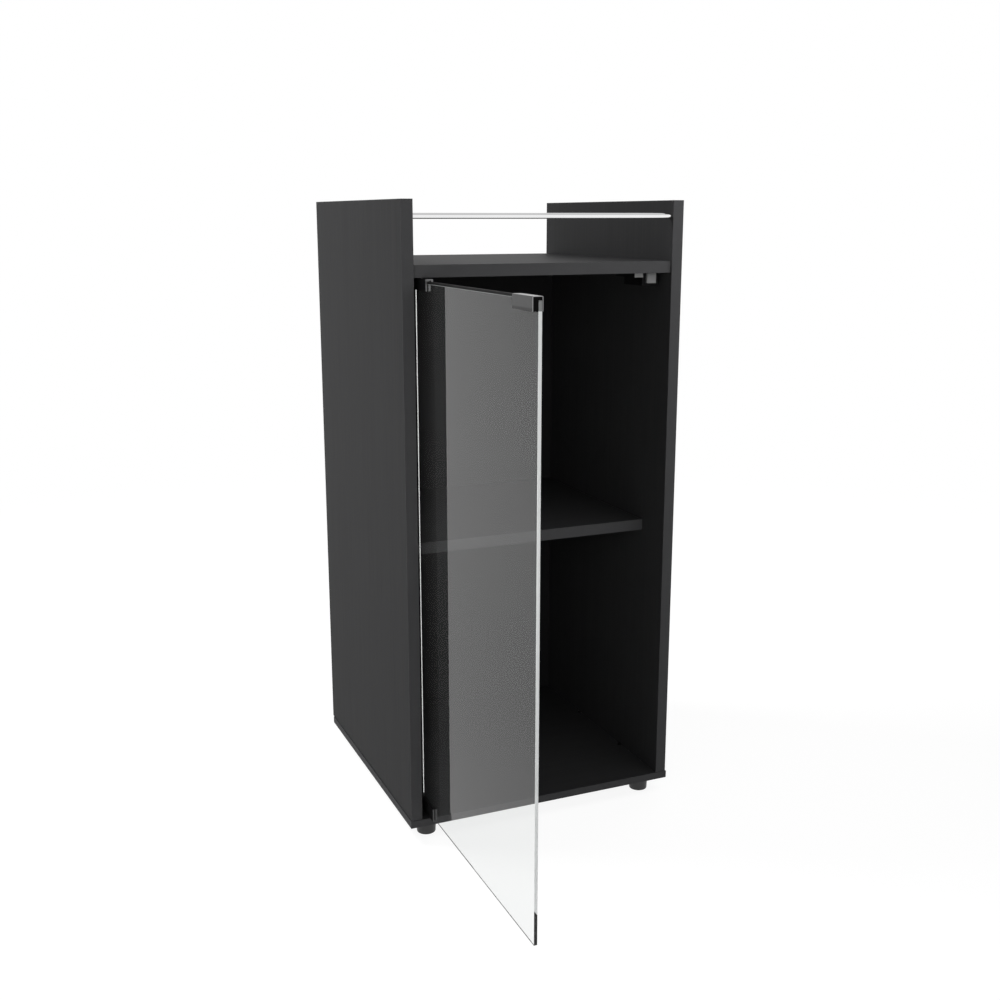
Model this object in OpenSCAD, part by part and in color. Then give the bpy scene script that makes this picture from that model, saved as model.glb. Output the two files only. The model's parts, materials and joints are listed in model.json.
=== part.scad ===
// Low bar cabinet: two side panels standing on a base board, a shelf, a top board set
// below the panels' upper ends with a gallery rail over its front edge, and a frameless
// glass door on pivot clamps, held by a push latch under the top board.
// Frame: +X to the right seen from the front, the front faces -Y, +Z is up.
// The origin is on the floor, at the centre between the side panels.

/* [Carcass] */
// Width across the two side panels
cabinet_w = 381; // [340:1:520]
// Depth of a side panel with its front edging
panel_d = 378; // [330:1:460]
// Thickness of the side panels, the top board and the shelf
board_t = 15; // [14:0.5:20]
// Thickness of the edging strips
edging_t = 0.8; // [0.5:0.1:2]
// Clear height from the base board to the top board
clear_h = 698; // [600:1:860]
// Height of the side panels above the top board
gallery_h = 76; // [50:1:120]
// Height of the shelf's underside above the base board
shelf_up = 342.5; // [240:0.5:420]
// Set-back of the top board's front edge from the panels' front
top_setback = 3.5; // [1:0.5:8]
// Set-back of the shelf's front edge from the panels' front
shelf_setback = 57.5; // [40:0.5:100]

/* [Base and back] */
// Thickness of the base board
base_t = 10; // [10:0.5:18]
// How far the base board stands out at the front and at both sides
base_lip = 1; // [0.5:0.5:4]
// Set-back of the base board's rear edge from the panels' rear
base_back_setback = 6; // [2:0.5:12]
// Thickness of the back panel
back_t = 3; // [2.5:0.5:6]
// Distance from the back panel's rear face to the panels' rear
back_inset = 18; // [12:0.5:30]
// Depth of the groove and the rebate that hold the back panel
groove_depth = 5; // [3:0.5:7]

/* [Gallery rail] */
// Diameter of the gallery rail
rail_d = 7; // [5:0.5:10]
// Distance from the panels' front to the rail's axis
rail_setback = 7; // [6.5:0.5:20]
// Distance from the panels' upper end down to the rail's axis
rail_drop = 19.5; // [12:0.5:35]
// Depth of the blind hole for each rail end
rail_socket = 8; // [5:0.5:10]

/* [Feet] */
// Height of a foot
foot_h = 21; // [18:1:40]
// Diameter of a foot where it meets the base board
foot_top_d = 27; // [26:0.2:36]
// Diameter of a foot on the floor
foot_floor_d = 25; // [20:0.2:26]
// Distance from a panel's outer face to a foot's axis
foot_in_x = 29; // [22:0.5:60]
// Distance from a panel's front or rear to a foot's axis
foot_in_y = 25.5; // [22:0.5:60]

/* [Glass door] */
// Thickness of the glass
glass_t = 4; // [3:0.5:6]
// Gap between the closed glass and each side panel
glass_side_gap = 1.5; // [1:0.5:5]
// Gap between the glass and the top board
glass_top_gap = 6.5; // [5.5:0.5:10]
// Gap between the glass and the base board
glass_bottom_gap = 3; // [3:0.5:8]
// Radius of the corners of the glass
glass_corner_r = 1.2; // [0.5:0.1:3]
// Height of the seal on the upper edge of the glass
seal_h = 2.9; // [2:0.1:4]
// Distance from a side panel's inner face to the pivot axis
pivot_in = 15; // [14:0.5:26]
// Distance from the panels' front to the pivot axis
pivot_back = 15.5; // [14:0.5:36]
// Distance from the outer face of the glass to the pivot axis
pivot_to_face = 3; // [2:0.5:5]

/* [Pivot clamps] */
// Length of a clamp along the glass
clamp_len = 41.5; // [38:0.5:60]
// Height of the upper clamp
clamp_h = 14; // [12:0.5:20]
// Height of the lower clamp
low_clamp_h = 17; // [12:0.5:20]
// Thickness of the clamp's outer leg
clamp_outer_t = 1.8; // [1.2:0.2:3]
// Thickness of the clamp's inner leg
clamp_inner_t = 2.4; // [2:0.2:4]
// Thickness of the liner between the clamp and the glass
liner_t = 0.4; // [0.3:0.1:0.6]
// Diameter of the pivot pins
pin_d = 5; // [4:0.5:6]
// Radial clearance of a pivot pin in its bush
pin_clear = 0.05; // [0.03:0.01:0.1]
// Outer diameter of a pivot bush
bush_d = 9; // [8:0.5:11]
// Depth of a pivot bush in its board
bush_depth = 5; // [4:0.5:6]
// Diameter of a bush's flange
bush_flange_d = 13; // [12:0.5:15]
// Thickness of a bush's flange
bush_flange_t = 0.6; // [0.4:0.1:0.8]
// Diameter of the clamp screws
clamp_screw_d = 4; // [3:0.5:5]

/* [Strike] */
// Length of the strike clip along the upper edge of the glass
strike_len = 48.5; // [40:0.5:60]
// Height of the strike clip
strike_h = 14.6; // [12:0.1:20]
// How far the strike clip rises above the glass
strike_rise = 4; // [2.5:0.1:4.4]
// How far the strike clip stands off the outer face of the glass
strike_off = 6.3; // [3:0.1:7]
// Thickness of the strike clip's metal
strike_sheet = 0.7; // [0.5:0.1:1]
// Thickness of the strike pad on the inner face of the glass
strike_pad_t = 0.3; // [0.3:0.1:0.8]

/* [Push latch] */
// Distance from the right panel's inner face to the latch housing
latch_in = 7.5; // [4:0.5:20]
// Width of the latch housing
latch_w = 23.7; // [22:0.1:30]
// Height of the latch housing
latch_h = 17; // [17:0.5:22]
// Length of the latch housing
latch_len = 48; // [46:1:60]
// Width of the plunger
plunger_w = 13.1; // [12:0.1:14]
// Height of the plunger
plunger_h = 12.7; // [11:0.1:12.8]
// Length of the plunger
plunger_len = 28; // [24:1:30]
// How far the plunger stands out of its housing
plunger_proud = 3.2; // [3.2:0.1:6]
// Travel of the plunger when the door is pushed
plunger_travel = 3; // [2:0.1:3]
// Gap between the closed strike and the plunger
latch_gap = 0.3; // [0.2:0.1:1]
// Gap between the plunger and the walls of its housing
slide_gap = 0.2; // [0.1:0.05:0.3]
// Width of the bracket that holds the housing
bracket_w = 12.4; // [9:0.1:14]
// Thickness of the bracket
bracket_t = 6; // [4:0.1:8]

/* [Fittings] */
// Diameter of a cam lock
cam_d = 15; // [12:0.5:16]
// Wood left over a cam lock
cam_cover = 2.5; // [2:0.5:3]
// Distance from a board's end to the cam lock's axis
cam_in = 24; // [20:0.5:34]
// Diameter of the cam bolts
cam_bolt_d = 5; // [4:0.5:5]
// Diameter of the wooden dowels
dowel_d = 8; // [6:0.5:9]
// Distance from a board's front or rear edge to its nearest cam lock
cam_from_edge = 45; // [35:1:60]
// Distance between a cam lock and the dowel beside it
dowel_from_cam = 32; // [25:1:60]
// Diameter of the base screws
base_screw_d = 5; // [4:0.5:5]
// Depth of a base screw in its side panel
base_screw_bite = 40; // [25:1:60]
// Distance from the panels' front to the front base screws
base_fix_front = 103; // [95:1:130]
// Distance from the panels' rear to the rear base screws
base_fix_back = 143; // [100:1:150]
// Distance between a base screw and the dowel beside it
base_dowel_step = 34; // [25:1:40]
// Diameter of the buttons in the corners over the base screws
button_d = 5; // [4:0.5:8]

/* [Hidden] */
$fn = 48;
// A little extra for cuts that run out through a face
cut = 1;

// Board edges in the frame
inner_x = cabinet_w / 2 - board_t;
front_y = -panel_d / 2;
back_y = panel_d / 2;
base_z = foot_h;
floor_z = base_z + base_t;
top_z = floor_z + clear_h;
panel_top_z = top_z + board_t + gallery_h;
shelf_z = floor_z + shelf_up;
back_panel_y = back_y - back_inset - back_t;
top_front_y = front_y + top_setback;
top_back_y = back_y - back_inset;
shelf_front_y = front_y + shelf_setback;
// Side clearance of the back panel in its grooves
groove_clear = 0.1;

// The door's own frame: x runs from the hinge edge, y from the outer face, both when shut
glass_w = 2 * inner_x - 2 * glass_side_gap;
glass_h = clear_h - glass_top_gap - glass_bottom_gap;
glass_z = floor_z + glass_bottom_gap;
glass_top_z = glass_z + glass_h;
pivot_x = -inner_x + pivot_in;
pivot_y = front_y + pivot_back;
pivot_s = pivot_in - glass_side_gap;
// The door stands open in the stored pose, at the angle that the photograph shows
door_open = 89.7;
// Vertical play of the door over its bottom bush and under its top one
bottom_float = 0.1;
top_float = 0.4;
top_web = glass_top_gap - liner_t - bush_flange_t - top_float;
bottom_web = glass_bottom_gap - liner_t - bush_flange_t - bottom_float;
// How far a clamp's web stands past its inner leg, around the pin
web_overhang = 0.4;
pin_end_gap = 0.5;
// A pin's bore runs a little past the web, into the leg
pin_relief = 0.2;
clamp_screw_places = [0.6, 0.85];
clamp_screw_proud = 0.8;
clamp_screw_socket = 1.5;
clamp_pocket = [4, 4, 2.2];
// The seal ends a little before the clamp and the strike
seal_end_gap = 0.5;
seal_round = 0.8;

// The latch
closed_inner_y = pivot_y - pivot_to_face + glass_t;
strike_inner_y = closed_inner_y + strike_pad_t + strike_sheet;
plunger_y = strike_inner_y + latch_gap;
latch_y = plunger_y + plunger_proud;
latch_x = inner_x - latch_in - latch_w;
// The plunger lies nearer the housing's right wall
plunger_right = 4.8;
plunger_floor = 3.4;
plunger_x = latch_x + latch_w - plunger_right - plunger_w;
plunger_z = top_z - latch_h + plunger_floor;
latch_rear_wall = 4;
pocket_len = latch_len - latch_rear_wall;
magnet = [10, 3, 9.2];
spring_bore_d = 6.4;
spring_bore_len = 14;
spring_d = 5.2;
spring_wire = 0.7;
spring_turns = 7;
spring_end_gap = 0.3;
bracket_x = latch_x - bracket_w;
// The bracket stands out in front of the housing by this much
bracket_lead = 2;
bracket_len = latch_len + bracket_lead;
latch_screw_d = 3.5;
latch_screw_bite = 11;
latch_screw_head_d = 6.4;
latch_screw_head_t = 2;
latch_screw_cross = [3.2, 0.6, 0.8];
latch_screw_from_end = 9;

// Feet
foot_round = 1.2;
foot_rim = 2;
foot_recess_d = 11;
foot_recess_h = 12;
foot_screw_d = 4.5;
foot_screw_head_d = 8.5;
foot_screw_head_h = 2.5;
foot_screw_slot = [4.2, 1, 1];
// The foot screws end below the bottom bush, which lies close to one of them
foot_screw_gap = 0.8;
foot_screw_bite = base_t - bush_depth - foot_screw_gap;
foot_x = cabinet_w / 2 - foot_in_x;
foot_y = panel_d / 2 - foot_in_y;

// Fittings
cam_h = board_t - cam_cover;
cam_slot_d = 8;
cam_bolt_head_d = 7;
cam_bolt_head_t = 2.5;
cam_bolt_hole_d = 7.4;
cam_bolt_bite = 10;
cam_bolt_collar_t = 1.5;
cam_cross = [8, 1.4, 1.6];
dowel_bite = 10;
dowel_len = 30;
button_t = 2.2;
button_taper = 1;
button_gap = 0.3;
base_screw_head_d = 9.5;
base_screw_head_t = 3;
base_screw_sink = 0.4;
base_dowel_d = 6;
base_dowel_bite = 18;
// Wood left under a base dowel
base_dowel_cover = 3;
base_dowel_sink = base_t - base_dowel_cover;
panel_mid_x = cabinet_w / 2 - board_t / 2;
top_cams_y = [top_front_y + cam_from_edge, top_back_y - back_t - cam_from_edge];
shelf_cams_y = [shelf_front_y + cam_from_edge, top_back_y - back_t - cam_from_edge];
base_fix_y = [front_y + base_fix_front, back_y - base_fix_back];

// A box from one corner to the opposite one
module block(low, high) {
    translate(low) cube(high - low);
}

// A cylinder along X whose axis passes through a point
module rod_x(at, d, len) {
    translate(at) rotate([0, 90, 0]) cylinder(d = d, h = len);
}

// A cylinder along +Z with a cone under its head, for a countersunk screw
module countersunk(d, len, head_d, head_t) {
    cylinder(d = d, h = len);
    cylinder(d1 = head_d, d2 = d, h = head_t);
}

// A cross-shaped slot in the face at z = 0: its length, width and depth
module cross_slot(size) {
    for (turn = [0, 90])
        rotate([0, 0, turn]) translate([-size[0] / 2, -size[1] / 2, -cut])
            cube([size[0], size[1], size[2] + cut]);
}

// The section of an edging strip: flat at y = 0, its two outer corners rounded at y = -edging_t
module edging_section(width) {
    translate([-width / 2, -edging_t / 2]) square([width, edging_t / 2]);
    translate([-width / 2 + edging_t / 2, -edging_t]) square([width - edging_t, edging_t]);
    for (side = [-1, 1])
        translate([side * (width / 2 - edging_t / 2), -edging_t / 2])
            circle(d = edging_t);
}

// A strip that lies along X, centred on x = 0, with its rounded side facing -Y
module front_strip(front, z, thickness, length) {
    translate([-length / 2, front + edging_t, z + thickness / 2]) rotate([90, 0, 90])
        linear_extrude(length) mirror([1, -1]) edging_section(thickness);
}

// The holes for cam bolts and dowels in one side panel, at one board's height
module panel_joint_holes(side, board_z, cams_y) {
    hole_z = board_z + board_t / 2;
    start_x = side > 0 ? inner_x - cut : -inner_x - cam_bolt_bite;
    dowel_x = side > 0 ? inner_x - cut : -inner_x - dowel_bite;
    for (i = [0, 1]) {
        rod_x([start_x, cams_y[i], hole_z], cam_bolt_d, cam_bolt_bite + cut);
        rod_x([dowel_x, dowel_y(cams_y, i), hole_z], dowel_d, dowel_bite + cut);
    }
}

// The dowels lie between the two cam locks of a board end
function dowel_y(cams_y, i) = cams_y[i] + (i == 0 ? 1 : -1) * dowel_from_cam;

// One side panel without its edging: side is -1 for the left one and 1 for the right one
module side_panel(side) {
    low_x = side > 0 ? inner_x : -cabinet_w / 2;
    groove_x = side > 0 ? inner_x - cut : -inner_x - groove_depth;
    rail_x = side > 0 ? inner_x - cut : -inner_x - rail_socket;
    difference() {
        block([low_x, front_y + edging_t, floor_z],
              [low_x + board_t, back_y, panel_top_z - edging_t]);
        block([groove_x, back_panel_y - groove_clear, floor_z - cut],
              [groove_x + groove_depth + cut, top_back_y + groove_clear, top_z + groove_depth]);
        rod_x([rail_x, front_y + rail_setback, panel_top_z - rail_drop],
              rail_d, rail_socket + cut);
        panel_joint_holes(side, top_z, top_cams_y);
        panel_joint_holes(side, shelf_z, shelf_cams_y);
        for (i = [0, 1]) {
            translate([side * panel_mid_x, base_fix_y[i], floor_z - cut])
                cylinder(d = base_screw_d, h = base_screw_bite + cut);
            translate([side * panel_mid_x, base_dowel_y(i), floor_z - cut])
                cylinder(d = base_dowel_d, h = base_dowel_bite + cut);
        }
    }
}

function base_dowel_y(i) = base_fix_y[i] + (i == 0 ? -1 : 1) * base_dowel_step;

module left_side_panel() { color("#232325") side_panel(-1); }
module right_side_panel() { color("#232325") side_panel(1); }

// The strips on a side panel's front edge and upper end
module panel_edging(side) {
    mid_x = side * panel_mid_x;
    translate([mid_x, front_y + edging_t, floor_z])
        linear_extrude(panel_top_z - floor_z) edging_section(board_t);
    translate([mid_x, front_y + edging_t / 2, panel_top_z - edging_t]) rotate([-90, 0, 0])
        linear_extrude(panel_d - edging_t / 2) edging_section(board_t);
}

module left_panel_edging() { color("#343436") panel_edging(-1); }
module right_panel_edging() { color("#343436") panel_edging(1); }

// The sockets for cam locks, bolts and dowels at both ends of a board
module board_joint_holes(board_z, cams_y) {
    hole_z = board_z + board_t / 2;
    for (side = [-1, 1]) {
        bolt_x = side > 0 ? inner_x - cam_in : -inner_x - cut;
        dowel_x = side > 0 ? inner_x - (dowel_len - dowel_bite) : -inner_x - cut;
        for (i = [0, 1]) {
            translate([side * (inner_x - cam_in), cams_y[i], board_z - cut])
                cylinder(d = cam_d, h = cam_h + cut);
            rod_x([bolt_x, cams_y[i], hole_z], cam_bolt_hole_d, cam_in + cut);
            rod_x([dowel_x, dowel_y(cams_y, i), hole_z],
                  dowel_d, dowel_len - dowel_bite + cut);
        }
    }
}

// The top board, with a rebate along its lower rear edge for the back panel
module top_board() {
    color("#232325") difference() {
        block([-inner_x, top_front_y + edging_t, top_z],
              [inner_x, top_back_y, top_z + board_t]);
        block([-inner_x - cut, back_panel_y - groove_clear, top_z - cut],
              [inner_x + cut, top_back_y + cut, top_z + groove_depth]);
        board_joint_holes(top_z, top_cams_y);
        translate([pivot_x, pivot_y, top_z - cut])
            cylinder(d = bush_d, h = bush_depth + cut);
        for (y = latch_screws_y())
            translate([bracket_x + bracket_w / 2, y, top_z - cut])
                cylinder(d = latch_screw_d, h = latch_screw_bite + cut);
    }
}

module top_board_edging() {
    color("#343436") front_strip(top_front_y, top_z, board_t, 2 * inner_x);
}

module shelf() {
    color("#232325") difference() {
        block([-inner_x, shelf_front_y + edging_t, shelf_z],
              [inner_x, back_panel_y - groove_clear, shelf_z + board_t]);
        board_joint_holes(shelf_z, shelf_cams_y);
    }
}

module shelf_edging() {
    color("#343436") front_strip(shelf_front_y, shelf_z, board_t, 2 * inner_x);
}

// The base board runs under both side panels and a little past them
base_half_w = cabinet_w / 2 + base_lip;
base_front_y = front_y - base_lip;
base_back_y = back_y - base_back_setback;

module base_board() {
    color("#232325") difference() {
        block([-base_half_w + edging_t, base_front_y + edging_t, base_z],
              [base_half_w - edging_t, base_back_y, base_z + base_t]);
        translate([pivot_x, pivot_y, floor_z - bush_depth])
            cylinder(d = bush_d, h = bush_depth + cut);
        for (side = [-1, 1])
            for (i = [0, 1]) {
                translate([side * panel_mid_x, base_fix_y[i], base_z - cut]) {
                    cylinder(d = base_screw_d, h = base_t + 2 * cut);
                    cylinder(d = base_screw_head_d, h = cut + base_screw_sink);
                }
                translate([side * panel_mid_x, base_fix_y[i], base_z + base_screw_sink])
                    cylinder(d1 = base_screw_head_d, d2 = base_screw_d, h = base_screw_head_t);
                translate([side * panel_mid_x, base_dowel_y(i), floor_z - base_dowel_sink])
                    cylinder(d = base_dowel_d, h = base_dowel_sink + cut);
            }
        foot_places() translate([0, 0, base_z - cut])
            cylinder(d = foot_screw_d, h = foot_screw_bite + cut);
    }
}

// The base board's strips: one along the front and one along each side
module base_board_edging() {
    side_len = base_back_y - base_front_y - edging_t / 2;
    color("#343436") {
        front_strip(base_front_y, base_z, base_t, 2 * base_half_w);
        for (side = [-1, 1])
            translate([0, base_back_y - side_len / 2, 0]) rotate([0, 0, side * 90])
                front_strip(-base_half_w, base_z, base_t, side_len);
    }
}

module back_panel() {
    color("#1c1c1e")
        block([-inner_x - groove_depth + groove_clear, back_panel_y, floor_z],
              [inner_x + groove_depth - groove_clear, top_back_y,
               top_z + groove_depth - groove_clear]);
}

module gallery_rail() {
    color("silver")
        rod_x([-inner_x - rail_socket, front_y + rail_setback, panel_top_z - rail_drop],
              rail_d, 2 * (inner_x + rail_socket));
}

// Repeats a thing at the axis of each foot
module foot_places() {
    for (x = [-1, 1])
        for (y = [-1, 1])
            translate([x * foot_x, y * foot_y, 0]) children();
}

// A tapered round foot with a rounded lower edge and a recess for its screw
module foot() {
    top_r = foot_top_d / 2;
    floor_r = foot_floor_d / 2;
    difference() {
        rotate_extrude() {
            polygon([[0, 0], [floor_r - foot_round, 0], [floor_r - foot_round, foot_round],
                     [floor_r, foot_round], [top_r, foot_h - foot_rim], [top_r, foot_h], [0, foot_h]]);
            translate([floor_r - foot_round, foot_round]) circle(r = foot_round);
        }
        translate([0, 0, -cut]) cylinder(d = foot_recess_d, h = foot_recess_h + cut);
        cylinder(d = foot_screw_d, h = foot_h + cut);
    }
}

module foot_front_left() { color("#171718") translate([-foot_x, -foot_y, 0]) foot(); }
module foot_front_right() { color("#171718") translate([foot_x, -foot_y, 0]) foot(); }
module foot_back_left() { color("#171718") translate([-foot_x, foot_y, 0]) foot(); }
module foot_back_right() { color("#171718") translate([foot_x, foot_y, 0]) foot(); }

module foot_screws() {
    color("silver") foot_places() difference() {
        union() {
            translate([0, 0, foot_recess_h - foot_screw_head_h])
                cylinder(d = foot_screw_head_d, h = foot_screw_head_h);
            translate([0, 0, foot_recess_h - foot_screw_head_h])
                cylinder(d = foot_screw_d,
                         h = foot_screw_head_h + base_z - foot_recess_h + foot_screw_bite);
        }
        translate([-foot_screw_slot[0] / 2, -foot_screw_slot[1] / 2,
                   foot_recess_h - foot_screw_head_h - cut])
            cube([foot_screw_slot[0], foot_screw_slot[1], foot_screw_slot[2] + cut]);
    }
}

// A cam lock drawn with its bolt pocket open towards -X
module cam_lock() {
    difference() {
        cylinder(d = cam_d, h = cam_h);
        rod_x([-cam_d, 0, board_t / 2], cam_slot_d, cam_d + cam_slot_d / 2);
        cross_slot(cam_cross);
    }
}

// The four cam locks of one board
module cam_locks(board_z, cams_y) {
    for (side = [-1, 1])
        for (i = [0, 1])
            translate([side * (inner_x - cam_in), cams_y[i], board_z])
                rotate([0, 0, side > 0 ? 180 : 0]) cam_lock();
}

// A cam bolt along +X from its seat in the panel to its head inside the cam lock
module cam_bolt() {
    reach = cam_in + cam_bolt_head_t / 2;
    rod_x([-cam_bolt_bite, 0, 0], cam_bolt_d, cam_bolt_bite + reach);
    rod_x([reach - cam_bolt_head_t, 0, 0], cam_bolt_head_d, cam_bolt_head_t);
    rod_x([0, 0, 0], cam_bolt_head_d, cam_bolt_collar_t);
}

module cam_bolts(board_z, cams_y) {
    for (side = [-1, 1])
        for (i = [0, 1])
            translate([side * inner_x, cams_y[i], board_z + board_t / 2])
                rotate([0, 0, side > 0 ? 180 : 0]) cam_bolt();
}

module board_dowels(board_z, cams_y) {
    for (side = [-1, 1])
        for (i = [0, 1])
            translate([side * inner_x, dowel_y(cams_y, i), board_z + board_t / 2])
                rotate([0, 0, side > 0 ? 180 : 0])
                    rod_x([-dowel_bite, 0, 0], dowel_d, dowel_len);
}

module top_cam_locks() { color("#9a9a9c") cam_locks(top_z, top_cams_y); }
module top_cam_bolts() { color("#c8c8ca") cam_bolts(top_z, top_cams_y); }
module top_dowels() { color("#c9a36a") board_dowels(top_z, top_cams_y); }
module shelf_cam_locks() { color("#9a9a9c") cam_locks(shelf_z, shelf_cams_y); }
module shelf_cam_bolts() { color("#c8c8ca") cam_bolts(shelf_z, shelf_cams_y); }
module shelf_dowels() { color("#c9a36a") board_dowels(shelf_z, shelf_cams_y); }

module base_screws() {
    color("#c8c8ca") for (side = [-1, 1])
        for (i = [0, 1])
            translate([side * panel_mid_x, base_fix_y[i], base_z + base_screw_sink])
                countersunk(base_screw_d, base_t - base_screw_sink + base_screw_bite,
                            base_screw_head_d, base_screw_head_t);
}

module base_dowels() {
    color("#c9a36a") for (side = [-1, 1])
        for (i = [0, 1])
            translate([side * panel_mid_x, base_dowel_y(i), floor_z - base_dowel_sink])
                cylinder(d = base_dowel_d, h = base_dowel_sink + base_dowel_bite);
}

// Small round buttons on the base board, in the corner beside each panel
module corner_buttons() {
    color("#101011") for (side = [-1, 1])
        for (i = [0, 1])
            translate([side * (inner_x - button_d / 2 - button_gap), base_fix_y[i], floor_z])
                cylinder(d1 = button_d, d2 = button_d - button_taper, h = button_t);
}

// Places a thing drawn in the shut door's frame where the door stands
module on_door() {
    translate([pivot_x, pivot_y, 0]) rotate([0, 0, -door_open])
        translate([-pivot_s, -pivot_to_face, 0]) children();
}

// The glass, its four corners a little rounded
module glass_door() {
    r = glass_corner_r;
    color([0.75, 0.85, 0.82, 0.35]) on_door()
        translate([0, glass_t, glass_z]) rotate([90, 0, 0]) linear_extrude(glass_t) {
            translate([r, 0]) square([glass_w - 2 * r, glass_h]);
            translate([0, r]) square([glass_w, glass_h - 2 * r]);
            for (x = [r, glass_w - r])
                for (y = [r, glass_h - r])
                    translate([x, y]) circle(r = r);
        }
}

// A bar along a clamp. Heights run away from the glass: up is 1 at the upper edge of the
// glass and -1 at its lower edge, and edge_z is that edge.
module clamp_bar(edge_z, up, low, high, near, far) {
    start = edge_z + (up > 0 ? low : -high);
    block([0, near, start], [clamp_len, far, start + high - low]);
}

// One clamp in the door's frame: a web over the edge of the glass and a leg on each face
module pivot_clamp(edge_z, up, web, height, pocket) {
    outer = -liner_t - clamp_outer_t;
    inner = glass_t + liner_t + clamp_inner_t;
    web_end = liner_t + web;
    leg_end = web_end - height;
    bore_start = edge_z + (up > 0 ? liner_t - pin_relief : -web_end - cut);
    difference() {
        union() {
            clamp_bar(edge_z, up, liner_t, web_end, outer, inner + web_overhang);
            clamp_bar(edge_z, up, leg_end, web_end, outer, -liner_t);
            clamp_bar(edge_z, up, leg_end, web_end, glass_t + liner_t, inner);
        }
        translate([pivot_s, pivot_to_face, bore_start])
            cylinder(d = pin_d, h = web + pin_relief + cut);
        for (place = clamp_screw_places)
            translate([place * clamp_len, glass_t, edge_z + up * leg_end / 2])
                rotate([-90, 0, 0])
                    cylinder(d = clamp_screw_d, h = liner_t + clamp_inner_t + cut);
        if (pocket)
            translate([clamp_len - clamp_pocket[0], pivot_to_face - clamp_pocket[1] / 2,
                       edge_z + liner_t + (web - clamp_pocket[2]) / 2])
                cube([clamp_pocket[0] + cut, clamp_pocket[1], clamp_pocket[2]]);
    }
}

module top_pivot_clamp() {
    color("#19191b") on_door() pivot_clamp(glass_top_z, 1, top_web, clamp_h, true);
}

module bottom_pivot_clamp() {
    color("#19191b") on_door() pivot_clamp(glass_z, -1, bottom_web, low_clamp_h, false);
}

// The liner wraps the edge of the glass inside a clamp
module clamp_liner(edge_z, up, web, height) {
    leg_end = liner_t + web - height;
    clamp_bar(edge_z, up, leg_end, liner_t, -liner_t, 0);
    clamp_bar(edge_z, up, leg_end, liner_t, glass_t, glass_t + liner_t);
    clamp_bar(edge_z, up, 0, liner_t, -liner_t, glass_t + liner_t);
}

module top_clamp_liner() {
    color("#0c0c0c") on_door() clamp_liner(glass_top_z, 1, top_web, clamp_h);
}

module bottom_clamp_liner() {
    color("#0c0c0c") on_door() clamp_liner(glass_z, -1, bottom_web, low_clamp_h);
}

// Two socket screws through the inner leg of each clamp
module clamp_screws() {
    color("#3a3a3c") on_door() {
        clamp_screw_pair(glass_top_z, 1, top_web, clamp_h);
        clamp_screw_pair(glass_z, -1, bottom_web, low_clamp_h);
    }
}

module clamp_screw_pair(edge_z, up, web, height) {
    leg_end = liner_t + web - height;
    for (place = clamp_screw_places)
        translate([place * clamp_len, glass_t + liner_t, edge_z + up * leg_end / 2])
            rotate([-90, 0, 0]) difference() {
                cylinder(d = clamp_screw_d, h = clamp_inner_t + clamp_screw_proud);
                translate([0, 0, clamp_inner_t + clamp_screw_proud - clamp_screw_socket])
                    cylinder(d = clamp_screw_d / 2, h = clamp_screw_socket + cut, $fn = 6);
            }
}

// A pivot pin runs from the clamp's web into the bush in the board
module top_pivot_pin() {
    color("#d0d0d2") translate([pivot_x, pivot_y, glass_top_z + liner_t])
        cylinder(d = pin_d, h = glass_top_gap - liner_t + bush_depth - pin_end_gap);
}

module bottom_pivot_pin() {
    low = floor_z - bush_depth + pin_end_gap;
    color("#d0d0d2") translate([pivot_x, pivot_y, low])
        cylinder(d = pin_d, h = glass_z - liner_t - low);
}

// A flanged bush: the flange lies on the board's face
module pivot_bush(up) {
    mirror([0, 0, up > 0 ? 0 : 1]) difference() {
        union() {
            cylinder(d = bush_d, h = bush_depth);
            translate([0, 0, -bush_flange_t]) cylinder(d = bush_flange_d, h = bush_flange_t);
        }
        translate([0, 0, -bush_flange_t - cut])
            cylinder(r = pin_d / 2 + pin_clear, h = bush_depth + bush_flange_t + 2 * cut);
    }
}

module top_pivot_bush() {
    color("#1c1c1d") translate([pivot_x, pivot_y, top_z]) pivot_bush(1);
}

module bottom_pivot_bush() {
    color("#1c1c1d") translate([pivot_x, pivot_y, floor_z]) pivot_bush(-1);
}

// The strike's place in the door's frame
strike_top = glass_top_z + strike_rise;
strike_low = strike_top - strike_h;
strike_s = glass_w - strike_len;
strike_out_y = -strike_off;
strike_in_y = glass_t + strike_pad_t + strike_sheet;

// A slim rubber strip on the upper edge of the glass, between the clamp and the strike
module door_seal() {
    r = seal_round;
    color("#101011") on_door() translate([clamp_len + seal_end_gap, 0, glass_top_z])
        rotate([90, 0, 90]) linear_extrude(strike_s - clamp_len - 2 * seal_end_gap) {
            square([glass_t, seal_h - r]);
            translate([r, 0]) square([glass_t - 2 * r, seal_h]);
            for (y = [r, glass_t - r])
                translate([y, seal_h - r]) circle(r = r);
        }
}

// A channel of glossy black sheet metal over the free upper corner of the glass
module strike_clip() {
    color("#232324") on_door() difference() {
        block([strike_s, strike_out_y, strike_low], [glass_w, strike_in_y, strike_top]);
        block([strike_s - cut, strike_out_y + strike_sheet, strike_low - cut],
              [glass_w + cut, strike_in_y - strike_sheet, strike_top - strike_sheet]);
    }
}

// The dark filling that grips the glass inside the channel
module strike_pad() {
    color("#0e0e0f") on_door() difference() {
        block([strike_s, strike_out_y + strike_sheet, strike_low],
              [glass_w, strike_in_y - strike_sheet, strike_top - strike_sheet]);
        block([strike_s - cut, 0, strike_low - cut], [glass_w + cut, glass_t, glass_top_z]);
    }
}

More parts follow.
